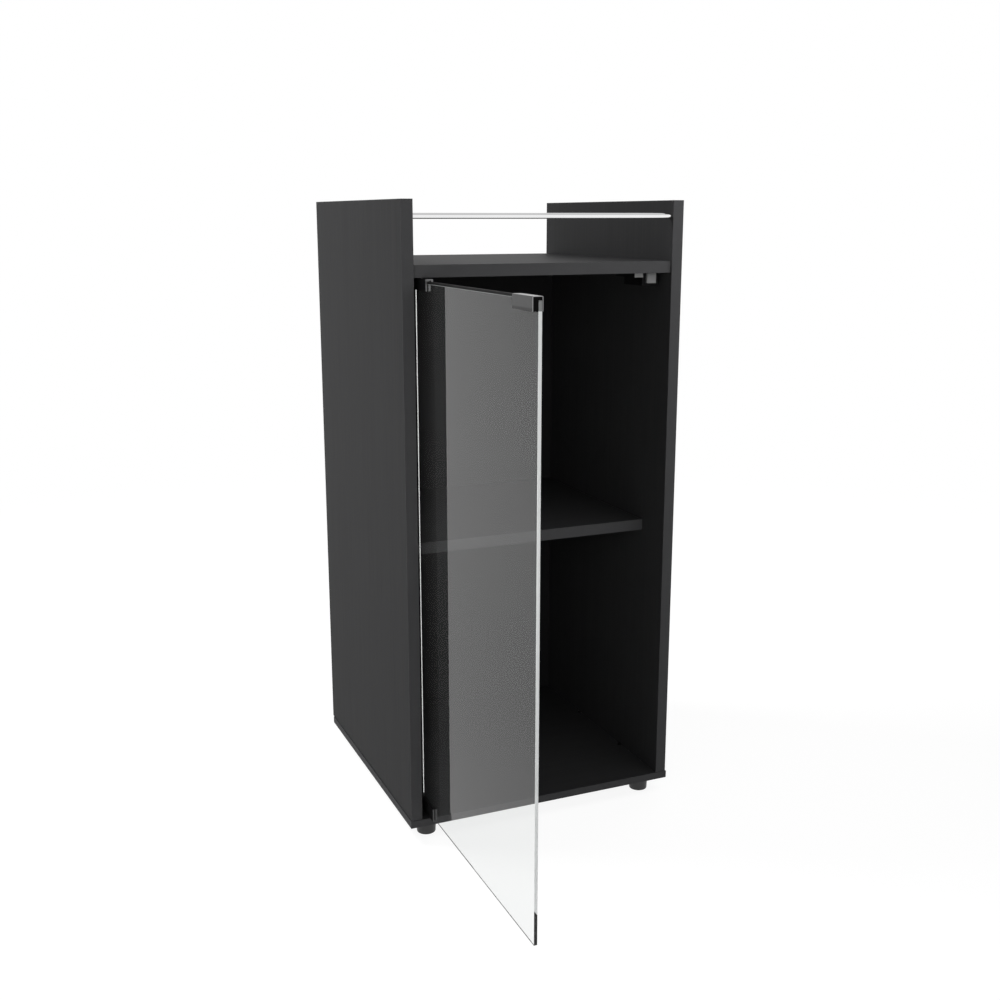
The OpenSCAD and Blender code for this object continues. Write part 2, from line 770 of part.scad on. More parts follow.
// The latch housing hangs under the top board, with a pocket for the plunger
module latch_housing() {
    color("#161617") difference() {
        block([latch_x, latch_y, top_z - latch_h], [latch_x + latch_w, latch_y + latch_len, top_z]);
        block([plunger_x - slide_gap, latch_y - cut, plunger_z - slide_gap],
              [plunger_x + plunger_w + slide_gap, latch_y + pocket_len,
               plunger_z + plunger_h + slide_gap]);
    }
}

function latch_screws_y() = [latch_y + latch_screw_from_end,
                             latch_y + bracket_len - latch_screw_from_end];

// The bracket is screwed to the top board beside the housing
module latch_bracket() {
    color("#838382") difference() {
        block([bracket_x, latch_y - bracket_lead, top_z - bracket_t],
              [bracket_x + bracket_w, latch_y - bracket_lead + bracket_len, top_z]);
        for (y = latch_screws_y())
            translate([bracket_x + bracket_w / 2, y, top_z - bracket_t]) {
                translate([0, 0, -cut]) cylinder(d = latch_screw_d, h = bracket_t + 2 * cut);
                cylinder(d1 = latch_screw_head_d, d2 = latch_screw_d, h = latch_screw_head_t);
            }
    }
}

module latch_screws() {
    color("#b8b8ba") for (y = latch_screws_y())
        translate([bracket_x + bracket_w / 2, y, top_z - bracket_t]) difference() {
            countersunk(latch_screw_d, bracket_t + latch_screw_bite,
                        latch_screw_head_d, latch_screw_head_t);
            cross_slot(latch_screw_cross);
        }
}

// The plunger: a block with a seat for the magnet in front and a bore for the spring behind
module latch_plunger() {
    mid = [plunger_x + plunger_w / 2, plunger_y, plunger_z + plunger_h / 2];
    color("#787877") difference() {
        block([plunger_x, plunger_y, plunger_z],
              [plunger_x + plunger_w, plunger_y + plunger_len, plunger_z + plunger_h]);
        block(mid + [-magnet[0] / 2, -cut, -magnet[2] / 2],
              mid + [magnet[0] / 2, magnet[1], magnet[2] / 2]);
        translate([mid[0], plunger_y + plunger_len - spring_bore_len, mid[2]])
            rotate([-90, 0, 0]) cylinder(d = spring_bore_d, h = spring_bore_len + cut);
    }
}

module latch_magnet() {
    mid = [plunger_x + plunger_w / 2, plunger_y, plunger_z + plunger_h / 2];
    color("#7b7b7c")
        block(mid + [-magnet[0] / 2, 0, -magnet[2] / 2],
              mid + [magnet[0] / 2, magnet[1], magnet[2] / 2]);
}

// A tube along a helix about +Z: rings of points round the helix, joined into one skin
module helix_tube(radius, wire, turns, height) {
    sides = 6;
    steps = turns * 16;
    points = [for (i = [0 : steps]) for (j = [0 : sides - 1])
        let (a = 360 * turns * i / steps, b = 360 * j / sides, r = radius + wire / 2 * cos(b))
            [r * cos(a), r * sin(a), height * i / steps + wire / 2 * sin(b)]];
    skin = [for (i = [0 : steps - 1]) for (j = [0 : sides - 1])
        let (k = (j + 1) % sides, p = i * sides, q = p + sides)
            [[p + j, p + k, q + k], [p + j, q + k, q + j]]];
    near = [for (j = [0 : sides - 1]) sides - 1 - j];
    far = [for (j = [0 : sides - 1]) steps * sides + j];
    polyhedron(points, concat([for (pair = skin) for (face = pair) face], [near, far]));
}

// The latch spring, seated in the plunger's bore and reaching towards the rear wall
module latch_spring() {
    start = plunger_y + plunger_len - spring_bore_len + spring_wire / 2;
    reach = latch_y + pocket_len - plunger_travel - spring_end_gap - spring_wire / 2 - start;
    color("#b0b0b2")
        translate([plunger_x + plunger_w / 2, start, plunger_z + plunger_h / 2])
            rotate([-90, 0, 0])
                helix_tube((spring_d - spring_wire) / 2, spring_wire, spring_turns, reach);
}

left_side_panel();
right_side_panel();
left_panel_edging();
right_panel_edging();
top_board();
top_board_edging();
shelf();
shelf_edging();
base_board();
base_board_edging();
back_panel();
gallery_rail();
foot_front_left();
foot_front_right();
foot_back_left();
foot_back_right();
foot_screws();
top_cam_locks();
top_cam_bolts();
top_dowels();
shelf_cam_locks();
shelf_cam_bolts();
shelf_dowels();
base_screws();
base_dowels();
corner_buttons();
glass_door();
door_seal();
top_pivot_clamp();
bottom_pivot_clamp();
top_clamp_liner();
bottom_clamp_liner();
clamp_screws();
top_pivot_pin();
bottom_pivot_pin();
top_pivot_bush();
bottom_pivot_bush();
strike_clip();
strike_pad();
latch_housing();
latch_bracket();
latch_screws();
latch_plunger();
latch_magnet();
latch_spring();
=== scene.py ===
"""Looks of the low bar cabinet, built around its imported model.

Lengths are in metres in the part's own frame: +X to the right seen from the front, the front faces -Y
and +Z is up, with the origin on the floor midway between the side panels.
"""

from __future__ import annotations

import json
import logging
import math
from dataclasses import dataclass, field
from enum import Enum
from functools import cache

import bmesh
import bpy
import numpy as np
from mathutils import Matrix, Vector

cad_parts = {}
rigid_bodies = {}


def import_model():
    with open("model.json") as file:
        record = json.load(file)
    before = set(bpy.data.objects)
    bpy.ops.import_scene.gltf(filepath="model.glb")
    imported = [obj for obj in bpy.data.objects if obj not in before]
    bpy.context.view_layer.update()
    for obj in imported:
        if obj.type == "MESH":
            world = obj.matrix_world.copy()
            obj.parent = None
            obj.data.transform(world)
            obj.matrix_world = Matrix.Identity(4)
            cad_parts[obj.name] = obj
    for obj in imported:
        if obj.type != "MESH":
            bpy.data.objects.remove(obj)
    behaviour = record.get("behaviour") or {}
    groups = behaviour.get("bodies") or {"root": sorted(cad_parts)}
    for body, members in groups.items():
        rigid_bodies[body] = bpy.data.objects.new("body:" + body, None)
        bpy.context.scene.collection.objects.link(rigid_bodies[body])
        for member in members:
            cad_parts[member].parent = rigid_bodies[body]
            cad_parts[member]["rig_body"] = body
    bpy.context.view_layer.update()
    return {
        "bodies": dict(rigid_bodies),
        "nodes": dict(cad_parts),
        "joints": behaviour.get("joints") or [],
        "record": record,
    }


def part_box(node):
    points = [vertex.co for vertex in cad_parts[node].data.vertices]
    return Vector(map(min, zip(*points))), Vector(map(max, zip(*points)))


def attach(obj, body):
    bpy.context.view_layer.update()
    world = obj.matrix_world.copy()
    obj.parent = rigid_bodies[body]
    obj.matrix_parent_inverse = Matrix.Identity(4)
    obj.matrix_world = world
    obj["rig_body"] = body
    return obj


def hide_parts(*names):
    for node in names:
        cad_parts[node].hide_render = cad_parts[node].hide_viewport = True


LOG = logging.getLogger("bar_cabinet")
MM = 0.001
Array = np.ndarray
Piece = bpy.types.Object
Material = bpy.types.Material
Node = bpy.types.Node
Socket = bpy.types.NodeSocket
Triple = tuple[float, float, float]
Colour = Triple
# What goes into a node's inputs, each given by its name or number
Sockets = dict[int | str, object]

WHITE = (1.0, 1.0, 1.0)
UPWARDS = np.array([0.0, 0.0, 1.0])
TOWARDS_FRONT = np.array([0.0, -1.0, 0.0])

# Points of a mesh nearer than this are one point, and edges shorter than this have no length
SAME_POINT = 1e-7
NO_LENGTH = 1e-8
# The same for a copied CAD mesh, whose faces within this many degrees are one face
SAME_CAD_POINT = 2e-6
SAME_FACE = 0.3


class Axis(Enum):
    """The three directions of the part's frame."""

    X = 0
    Y = 1
    Z = 2

    def others(self) -> list[int]:
        """The numbers of the two other axes."""
        return [axis for axis in range(3) if axis != self.value]

    def drawn_out(self, across: float, lengthways: float) -> Triple:
        """Cycles to the metre along X, Y and Z: the second number along this axis, else the first."""
        return tuple(lengthways if number == self.value else across for number in range(3))


class Num:
    """A number that a node gives, which Python arithmetic carries on as Math nodes."""

    def __init__(self, net: ShaderNet, socket: Socket) -> None:
        """Wraps one output socket of a node tree."""
        self.net = net
        self.socket = socket

    def _math(self, operation: str, first: object, second: object = 0.0) -> Num:
        """The result of a new Math node, of two values that are numbers or Nums."""
        made = self.net.node("ShaderNodeMath", {"operation": operation}, {0: first, 1: second})
        return Num(self.net, made.outputs[0])

    def __add__(self, other: object) -> Num:
        """Sum of the two."""
        return self._math("ADD", self, other)

    def __radd__(self, other: object) -> Num:
        """Sum of the two."""
        return self._math("ADD", other, self)

    def __sub__(self, other: object) -> Num:
        """This one less the other."""
        return self._math("SUBTRACT", self, other)

    def __rsub__(self, other: object) -> Num:
        """The other less this one."""
        return self._math("SUBTRACT", other, self)

    def __mul__(self, other: object) -> Num:
        """Product of the two."""
        return self._math("MULTIPLY", self, other)

    def __rmul__(self, other: object) -> Num:
        """Product of the two."""
        return self._math("MULTIPLY", other, self)

    def __pow__(self, other: object) -> Num:
        """This one raised to the other."""
        return self._math("POWER", self, other)

    def clipped(self) -> Num:
        """This one held between 0 and 1."""
        return self._math("MINIMUM", self._math("MAXIMUM", self, 0.0), 1.0)


class ShaderNet:
    """One node tree, of a material or of the world."""

    def __init__(self, tree: bpy.types.NodeTree) -> None:
        """Takes over a node tree and empties it."""
        self.tree = tree
        self.tree.nodes.clear()

    def node(
        self,
        kind: str,
        settings: dict[str, object] | None = None,
        values: Sockets | None = None,
    ) -> Node:
        """Adds one node, its settings first and then its sockets.

        Args:
            kind: the node's type.
            settings: the node's own settings.
            values: what each named or numbered input gets: a value, a Num, a node or a socket.

        Returns:
            The node.
        """
        made = self.tree.nodes.new(kind)
        for key, value in (settings or {}).items():
            setattr(made, key, value)
        for key, value in (values or {}).items():
            self._feed(made.inputs[key], value)
        return made

    def _feed(self, socket: Socket, value: object) -> None:
        """Links or sets one input.

        Args:
            socket: the input socket.
            value: a Num, a node for its first output, an output socket or the plain value to set.
        """
        source = value
        if isinstance(value, Num):
            source = value.socket
        elif isinstance(value, Node):
            source = value.outputs[0]
        if isinstance(source, Socket):
            self.tree.links.new(source, socket)
        else:
            socket.default_value = source

    def principled(self, sockets: Sockets) -> Node:
        """A Principled shader with the given sockets."""
        return self.node("ShaderNodeBsdfPrincipled", values=sockets)

    def mixed(self, share: Num, low: Node, high: Node) -> Node:
        """A shader between two: a share of 0 gives the low one and 1 the high one."""
        return self.node("ShaderNodeMixShader", values={0: share, 1: low, 2: high})

    def surface(self, shader: Node) -> None:
        """Makes a shader the material's surface."""
        self.node("ShaderNodeOutputMaterial", values={"Surface": shader})

    def ray(self, question: str) -> Num:
        """What a Light Path node says of the ray, such as "Is Camera Ray"."""
        return Num(self, self.node("ShaderNodeLightPath").outputs[question])

    def point(self) -> Socket:
        """The point on the piece, in metres; in the world's tree, the unit direction."""
        return self.node("ShaderNodeTexCoord").outputs["Object"]

    def place(self) -> list[Num]:
        """X, Y and Z of that point."""
        parts = self.node("ShaderNodeSeparateXYZ", values={"Vector": self.point()})
        return [Num(self, socket) for socket in parts.outputs]

    def noise(
        self,
        scale: float | Triple,
        detail: float = 3.0,
        roughness: float = 0.5,
        distortion: float = 0.0,
    ) -> Num:
        """Soft noise from 0 to 1.

        Args:
            scale: cycles to the metre, one number for all directions or one each along X, Y and Z.
            detail: number of finer layers.
            roughness: strength of the finer layers.
            distortion: how far the noise is bent.

        Returns:
            The noise.
        """
        cycles = scale if isinstance(scale, tuple) else (scale,) * 3
        sockets = {
            "Vector": self.node("ShaderNodeMapping", values={"Vector": self.point(), "Scale": cycles}),
            "Scale": 1.0,
            "Detail": detail,
            "Roughness": roughness,
            "Distortion": distortion,
        }
        made = self.node("ShaderNodeTexNoise", values=sockets)
        return Num(self, made.outputs[0])

    def blend(self, share: Num, low: Colour | Socket, high: Colour) -> Socket:
        """A colour between two.

        Args:
            share: 0 gives the low colour and 1 the high one.
            low: the low colour, or the socket that gives it.
            high: the high colour.

        Returns:
            The colour socket.
        """
        first = low if isinstance(low, Socket) else rgba(low)
        made = self.node("ShaderNodeMix", {"data_type": "RGBA"}, {0: share, 6: first, 7: rgba(high)})
        return made.outputs[2]

    def varied(self, share: Num, colour: Colour, spread: float) -> Socket:
        """A colour that is darker by the spread where the share is 0 and lighter by it where it is 1."""
        return self.blend(share, shade(colour, 1.0 - spread), shade(colour, 1.0 + spread))

    def bump(self, height: Num, strength: float, distance: float) -> Socket:
        """A normal bent by a height from 0 to 1, where 1 stands for the distance in metres."""
        values = {"Height": height, "Strength": strength, "Distance": distance}
        return self.node("ShaderNodeBump", values=values).outputs["Normal"]


def new_material(name: str) -> tuple[Material, ShaderNet]:
    """An empty material.

    Args:
        name: its name.

    Returns:
        The material and its node tree.
    """
    made = bpy.data.materials.new(name)
    made.use_nodes = True
    return made, ShaderNet(made.node_tree)


def rgba(colour: Colour) -> tuple[float, float, float, float]:
    """A colour with full opacity."""
    return (*colour, 1.0)


def shade(colour: Colour, factor: float) -> Colour:
    """A colour made lighter or darker: each channel times the factor."""
    red, green, blue = colour
    return red * factor, green * factor, blue * factor


def around(mean: float, *parts: tuple[Num, float]) -> Num:
    """A value around its mean: each noise times its weight, plus the mean less half of the weights."""
    weighted = [noise * weight for noise, weight in parts]
    return sum(weighted[1:], weighted[0]) + (mean - 0.5 * sum(weight for _, weight in parts))


@dataclass(frozen=True)
class Finish:
    """What every finish has: a name, a colour, a roughness and how it becomes a material."""

    name: str
    colour: Colour
    roughness: float

    def sockets(self, net: ShaderNet) -> Sockets:
        """The values and links of the shader's sockets, with new nodes in the given tree."""
        raise NotImplementedError

    def material(self) -> Material:
        """The finish as a material.

        Returns:
            The material.
        """
        made, net = new_material(self.name)
        net.surface(net.principled(self.sockets(net)))
        return made


@dataclass(frozen=True)
class GrainedFoil(Finish):
    """Black foil printed and pressed with a fine straight grain.

    Bands, streaks and pores are given in cycles to the metre across the grain and along it.
    """

    along: Axis = Axis.Z
    bands: tuple[float, float] = (38.0, 1.6)
    streaks: tuple[float, float] = (420.0, 7.0)
    pores: tuple[float, float] = (1500.0, 55.0)
    clouds: float = 5.0
    contrast: float = 0.14
    press: float = 0.06 * MM
    ior: float = 1.12
    spread: float = 2.6

    def sockets(self, net: ShaderNet) -> Sockets:
        """Broad bands, streaks and pores, all drawn out along the grain.

        Args:
            net: the material's node tree.

        Returns:
            What goes into each socket.
        """
        bands = net.noise(self.along.drawn_out(*self.bands), detail=2.0, distortion=0.3)
        streaks = net.noise(self.along.drawn_out(*self.streaks), detail=4.0, roughness=0.65)
        pores = net.noise(self.along.drawn_out(*self.pores), detail=2.0, roughness=0.6)
        cloud = net.noise(self.clouds, detail=2.0)
        tone = (bands * 0.25 + streaks * 0.45 + pores * 0.2 + cloud * 0.1).clipped()
        wide = ((tone - 0.5) * self.spread + 0.5).clipped()
        gloss = around(self.roughness, (1.0 - streaks, 0.10), (pores, 0.06))
        relief = streaks * 0.6 + pores * 0.4
        return {
            "Base Color": net.varied(wide, self.colour, self.contrast),
            "Roughness": gloss.clipped(),
            "Normal": net.bump(relief, 0.35, self.press),
            "IOR": self.ior,
        }


@dataclass(frozen=True)
class Moulded(Finish):
    """Moulded plastic, rubber or powder coat: a fine pebbled skin with faint clouds."""

    pebble: float = 1400.0
    relief: float = 0.05 * MM
    ior: float = 1.46
    cloud: float = 60.0
    contrast: float = 0.08

    def sockets(self, net: ShaderNet) -> Sockets:
        """Pebbles for the relief, and clouds for colour and gloss.

        Args:
            net: the material's node tree.

        Returns:
            What goes into each socket.
        """
        pebbles = net.noise(self.pebble, detail=2.0, roughness=0.6)
        cloud = net.noise(self.cloud, detail=3.0)
        gloss = around(self.roughness, (cloud, 0.10), (pebbles, 0.05))
        return {
            "Base Color": net.varied(cloud, self.colour, self.contrast),
            "Roughness": gloss.clipped(),
            "Normal": net.bump(pebbles, 0.3, self.relief),
            "IOR": self.ior,
        }


@dataclass(frozen=True)
class BrightMetal(Finish):
    """Drawn or plated metal with hair lines along one direction.

    The hair is given in cycles to the metre across the lines and along them.
    """

    along: Axis = Axis.X
    hair: tuple[float, float] = (2600.0, 18.0)
    lines: float = 0.05

    def sockets(self, net: ShaderNet) -> Sockets:
        """Hair lines for gloss and relief, and a faint cloud for the colour.

        Args:
            net: the material's node tree.

        Returns:
            What goes into each socket.
        """
        hair = net.noise(self.along.drawn_out(*self.hair), detail=2.0, roughness=0.6)
        cloud = net.noise(40.0, detail=2.0)
        gloss = around(self.roughness, (hair, self.lines), (cloud, 0.03))
        return {
            "Base Color": net.blend(cloud, shade(self.colour, 0.96), shade(self.colour, 1.03)),
            "Metallic": 1.0,
            "Roughness": gloss.clipped(),
            "Normal": net.bump(hair, 0.12, 0.01 * MM),
        }


@dataclass(frozen=True)
class CoatedSheet(Finish):
    """Sheet metal under a glossy coat, with a hem at its lower edge that has less gloss."""

    hem_top: float
    hem_share: float = 0.45
    hem_line: float = 0.25 * MM
    coat: float = 0.56

    def sockets(self, net: ShaderNet) -> Sockets:
        """Faint clouds in colour and gloss, and a coat that is weaker over the hem.

        Args:
            net: the material's node tree.

        Returns:
            What goes into each socket.
        """
        cloud = net.noise(70.0, detail=3.0)
        _, _, height = net.place()
        above = ((height - self.hem_top) * (1.0 / self.hem_line)).clipped()
        share = above * (1.0 - self.hem_share) + self.hem_share
        return {
            "Base Color": net.varied(cloud, self.colour, 0.1),
            "Roughness": around(self.roughness, (cloud, 0.08)),
            "IOR": 1.15,
            "Coat Weight": around(self.coat, (cloud, 0.06)) * share,
            "Coat Roughness": 0.08,
            "Coat IOR": 1.5,
        }


@dataclass(frozen=True)
class ClearGlass(Finish):
    """Clear float glass with the faintest film on its faces."""

    film: float = 0.018
    haze: float = 0.006
    ior: float = 1.39

    def sockets(self, net: ShaderNet) -> Sockets:
        """Nearly full transmission, and a haze that changes over the sheet.

        Args:
            net: the material's node tree.

        Returns:
            What goes into each socket.
        """
        wiped = net.noise((9.0, 9.0, 5.0), detail=3.0, distortion=0.6)
        return {
            "Base Color": rgba(self.colour),
            "Roughness": (wiped - 0.62).clipped() * self.haze + self.roughness,
            "Transmission Weight": 1.0 - self.film,
            "IOR": self.ior,
        }


@dataclass(frozen=True)
class SheetGlass(ClearGlass):
    """The broad faces of the glass: a ray that leaves through one isn't reflected back inside.

    What it would lose there is taken off its colour.
    """

    leaving_share: float = 0.92
    lamp_share: float = 0.95

    def material(self) -> Material:
        """Clear glass where a ray enters, plain refraction where it leaves, and a way for lamps' light.

        Returns:
            The material.
        """
        made, net = new_material(self.name)
        tint = rgba(shade(self.colour, self.leaving_share))
        enters = net.principled(self.sockets(net))
        bent = {"Color": tint, "Roughness": 0.0, "IOR": self.ior}
        leaves = net.node("ShaderNodeBsdfRefraction", values=bent)
        inside = Num(net, net.node("ShaderNodeNewGeometry").outputs["Backfacing"])
        lamp_tint = rgba(shade(WHITE, self.lamp_share))
        passed = net.node("ShaderNodeBsdfTransparent", values={"Color": lamp_tint})
        net.surface(net.mixed(net.ray("Is Shadow Ray"), net.mixed(inside, enters, leaves), passed))
        return made


@dataclass(frozen=True)
class GroundEdge(Finish):
    """The rim of the glass: ground to a pale satin above a slanting line and clear below it."""

    clear: ClearGlass
    line_height: float = 0.0
    line_x: float = 0.0
    slant: float = 0.0
    painted_shade_from: float = 1.0
    painted_shade_share: float = 0.3
    line_slope: float = 3000.0
    painted_shade_slope: float = 1500.0

    def material(self) -> Material:
        """Mixes the ground and the clear rim at the line; inside the strike the ground one is darkened by
        painted shade, standing in for the strike's shadow.

        Returns:
            The material.
        """
        made, net = new_material(self.name)
        grit = net.noise(1700.0, detail=2.0, roughness=0.6)
        wave = net.noise((90.0, 90.0, 30.0), detail=3.0)
        x, _, height = net.place()
        above = height - self.line_height + (x - self.line_x) * self.slant
        ground_share = (above * self.line_slope + 0.5).clipped()
        # Painted shade: above this height the ground rim's colour is darkened, as if in the strike's shadow
        painted_shade = ((height - self.painted_shade_from) * self.painted_shade_slope + 0.5).clipped()
        pale = net.varied(wave, self.colour, 0.04)
        satin = {
            "Base Color": net.blend(painted_shade, pale, shade(self.colour, self.painted_shade_share)),
            "Roughness": around(self.roughness, (wave, 0.1)),
            "Normal": net.bump(grit, 0.3, 0.03 * MM),
            "IOR": 1.3,
        }
        net.surface(net.mixed(ground_share, net.principled(self.clear.sockets(net)), net.principled(satin)))
        return made


@dataclass(frozen=True)
class TurnedBeech(Finish):
    """Raw beech with short dark flecks along the dowels.

    The flecks are given in cycles to the metre across the dowel and along it.
    """

    along: Axis = Axis.X
    flecks: tuple[float, float] = (1100.0, 120.0)

    def sockets(self, net: ShaderNet) -> Sockets:
        """Flecks drawn out along the dowel.

        Args:
            net: the material's node tree.

        Returns:
            What goes into each socket.
        """
        flecks = net.noise(self.along.drawn_out(*self.flecks), detail=3.0, roughness=0.7)
        sharp = ((flecks - 0.42) * 3.0).clipped()
        return {
            "Base Color": net.blend(sharp, shade(self.colour, 0.72), self.colour),
            "Roughness": sharp * 0.1 + self.roughness,
            "Normal": net.bump(flecks, 0.4, 0.08 * MM),
        }


# The finishes of the cabinet's pieces, each with its name, colour, roughness and what sets it apart
BOARD_BLACK = (0.024, 0.024, 0.0247)
UPRIGHT_FOIL = GrainedFoil("upright_foil", BOARD_BLACK, 0.52)
LEVEL_FOIL = GrainedFoil("level_foil", BOARD_BLACK, 0.52, along=Axis.X)
BACK_FOIL = GrainedFoil("back_foil", (0.018, 0.018, 0.0185), 0.6, contrast=0.08)
EDGE_STRIP = Moulded("edge_strip", (0.052, 0.052, 0.0535), 0.55, pebble=900.0, contrast=0.05, ior=1.12)
FOOT_PLASTIC = Moulded("foot_plastic", (0.036, 0.036, 0.0365), 0.42)
ZINC = BrightMetal("zinc", (0.58, 0.58, 0.59), 0.38, lines=0.12)
BEECH = TurnedBeech("beech", (0.56, 0.39, 0.20), 0.62)
GLASS_TINT = (0.985, 0.993, 0.990)
DOOR_GLASS = SheetGlass("door_glass", GLASS_TINT, 0.0)
CLEAR_RIM = ClearGlass("clear_rim", GLASS_TINT, 0.0)
GROUND_RIM = GroundEdge(
    "ground_rim",
    (0.80, 0.82, 0.815),
    0.5,
    clear=CLEAR_RIM,
    line_height=0.0755,
    line_x=-0.1616,
    slant=1.35,
    # painted shade of the strike on the ground rim starts at this height
    painted_shade_from=0.712,
)
# The top rim is the same ground glass as the free edge, made darker: painted shade that dims its highlight
SHADED_TOP_RIM = GroundEdge("shaded_top_rim", (0.30, 0.31, 0.307), 0.5, clear=CLEAR_RIM)
CLAMP_COAT = Moulded("clamp_coat", (0.010, 0.010, 0.0105), 0.4, pebble=1800.0, ior=1.15)
CLAMP_CUT = BrightMetal("clamp_cut", (0.19, 0.19, 0.193), 0.36, along=Axis.Z)
# The lower clamp's cut ends are the same bare metal as the upper's, made darker: painted shade
SHADED_LOW_CLAMP_CUT = BrightMetal("shaded_low_clamp_cut", (0.09, 0.09, 0.092), 0.36, along=Axis.Z)
STRIKE_CUT = BrightMetal("strike_cut", (0.40, 0.40, 0.405), 0.34, along=Axis.Z)
RUBBER = Moulded("rubber", (0.008, 0.008, 0.008), 0.62, pebble=1100.0, ior=1.3)
STRIKE_FILLING = Moulded("strike_filling", (0.004, 0.004, 0.004), 0.62, pebble=1100.0, ior=1.1)
SEAL_RUBBER = Moulded("seal_rubber", (0.010, 0.010, 0.010), 0.5, pebble=1100.0, ior=1.12)
STEEL = BrightMetal("bright_steel", (0.64, 0.64, 0.65), 0.24, along=Axis.Z)
RAIL_METAL = BrightMetal("rail_metal", (0.90, 0.90, 0.905), 0.07, lines=0.03)
STRIKE_COAT = CoatedSheet("strike_coat", (0.012, 0.012, 0.0123), 0.25, hem_top=0.7148)
NYLON = Moulded("nylon", (0.020, 0.020, 0.0205), 0.4, ior=1.3)
LATCH_BLACK = Moulded("latch_black", (0.006, 0.006, 0.0062), 0.5, ior=1.12)
LATCH_PAINT = Moulded("latch_paint", (0.23, 0.23, 0.227), 0.45, pebble=1800.0)
PLUNGER_GREY = Moulded("plunger_grey", (0.19, 0.19, 0.188), 0.42, pebble=1800.0, ior=1.3)
MAGNET_GREY = Moulded("magnet_grey", (0.20, 0.20, 0.202), 0.5, pebble=700.0, ior=1.3, contrast=0.12)


@cache
def paint_of(finish: Finish) -> Material:
    """The material of a finish, made once."""
    return finish.material()


def arc(centre: tuple[float, float], radius: float, start: float, stop: float, steps: int) -> Array:
    """Points of an arc of some chords: centre plus radius times (cosine, sine) of even angles, in degrees."""
    angle = np.radians(np.linspace(start, stop, steps + 1))
    return np.stack([centre[0] + radius * np.cos(angle), centre[1] + radius * np.sin(angle)], axis=1)


def rounded_loop(half_u: float, half_v: float, corner: float, steps: int) -> Array:
    """A rectangle with round corners about (0, 0): four quarter arcs joined in order.

    Args:
        half_u: half its first side.
        half_v: half its second side.
        corner: radius of its corners.
        steps: chords to a corner.

    Returns:
        The points of the closed loop.
    """
    u = half_u - corner
    v = half_v - corner
    places = [(u, v, 0.0), (-u, v, 90.0), (-u, -v, 180.0), (u, -v, 270.0)]
    return np.concatenate([arc((x, y), corner, turn, turn + 90.0, steps) for x, y, turn in places])


def rounded_bar(low: Array, high: Array, corner: float, edge: float, steps: int = 4) -> Array:
    """Rings of a bar along X with round corners and rounded ends.

    Each ring is the rounded rectangle, drawn in by edge * (1 - sin) while it stands
    edge * (1 - cos) inside the end face, so both ends curve over through a quarter turn.

    Args:
        low: the bar's lowest corner.
        high: its highest corner.
        corner: radius of the four corners that run along the bar.
        edge: radius of the edges around both end faces, at most the corner's.
        steps: chords to a quarter turn.

    Returns:
        The rings, as an array of rings x points x 3.
    """
    _, half_depth, half_height = (high - low) / 2
    turn = np.radians(np.linspace(0.0, 90.0, steps + 1))
    back = turn[::-1]
    inset = np.concatenate([edge * (1 - np.sin(turn)), edge * (1 - np.sin(back))])
    place = np.concatenate([low[0] + edge * (1 - np.cos(turn)), high[0] - edge * (1 - np.cos(back))])
    loop = rounded_loop(half_depth, half_height, corner, steps)
    core = rounded_loop(half_depth - corner, half_height - corner, 0.0, steps)
    share = ((corner - inset) / corner)[:, None, None]
    rings = np.empty((len(place), len(loop), 3))
    rings[:, :, 0] = place[:, None]
    rings[:, :, 1:] = (high[1:] + low[1:]) / 2 + (core + (loop - core) * share)
    return rings


def turned(profile: Array, centre: Array, along: Axis, sides: int = 64) -> Array:
    """Rings of a turned piece: each profile point (radius, height) goes round the axis.

    Args:
        profile: the points, each a radius and a height.
        centre: the point of the axis at height 0.
        along: the axis.
        sides: points to a turn.

    Returns:
        The rings, as an array of rings x points x 3.
    """
    angle = np.linspace(0.0, 2 * np.pi, sides, endpoint=False)
    first, second = along.others()
    rings = np.empty((len(profile), sides, 3))
    rings[:, :, first] = centre[first] + profile[:, :1] * np.cos(angle)
    rings[:, :, second] = centre[second] + profile[:, :1] * np.sin(angle)
    rings[:, :, along.value] = centre[along.value] + profile[:, 1:]
    return rings


def carried(path: Array, normals: Array, section: Array) -> Array:
    """Rings of a section carried along a path in the Y-Z plane: X comes from the section's first
    value, and its second value stands off the path along the path's normal.

    Args:
        path: the path's points, each a Y and a Z.
        normals: the unit normal at each point.
        section: the closed section's points.

    Returns:
        The rings, as an array of rings x points x 3.
    """
    rings = np.empty((len(path), len(section), 3))
    rings[:, :, 0] = section[None, :, 0]
    rings[:, :, 1:] = path[:, None, :] + normals[:, None, :] * section[None, :, 1:]
    return rings


def skin(name: str, rings: Array, looped: bool = False, sharp: float = 35.0) -> Piece:
    """Joins rings of points into one closed mesh.

    Neighbouring points of neighbouring rings make quads. Unless the rings themselves form a loop,
    a cap closes the first and the last one.

    Args:
        name: the piece's name.
        rings: the points, rings x points x 3.
        looped: True where the last ring joins the first.
        sharp: edges that turn by more than this many degrees stay sharp.

    Returns:
        The piece.
    """
    count, size, _ = rings.shape
    row = np.arange(count if looped else count - 1)[:, None]
    column = np.arange(size)[None, :]
    beside = (column + 1) % size
    below = (row + 1) % count
    corners = [row * size + column, row * size + beside, below * size + beside, below * size + column]
    faces = np.stack(corners, axis=-1).reshape(-1, 4).tolist()
    if not looped:
        faces += [list(range(size))[::-1], list(range((count - 1) * size, count * size))]
    mesh = bpy.data.meshes.new(name)
    mesh.from_pydata(rings.reshape(-1, 3).tolist(), [], faces)
    return even_shading(finished(name, mesh, sharp))


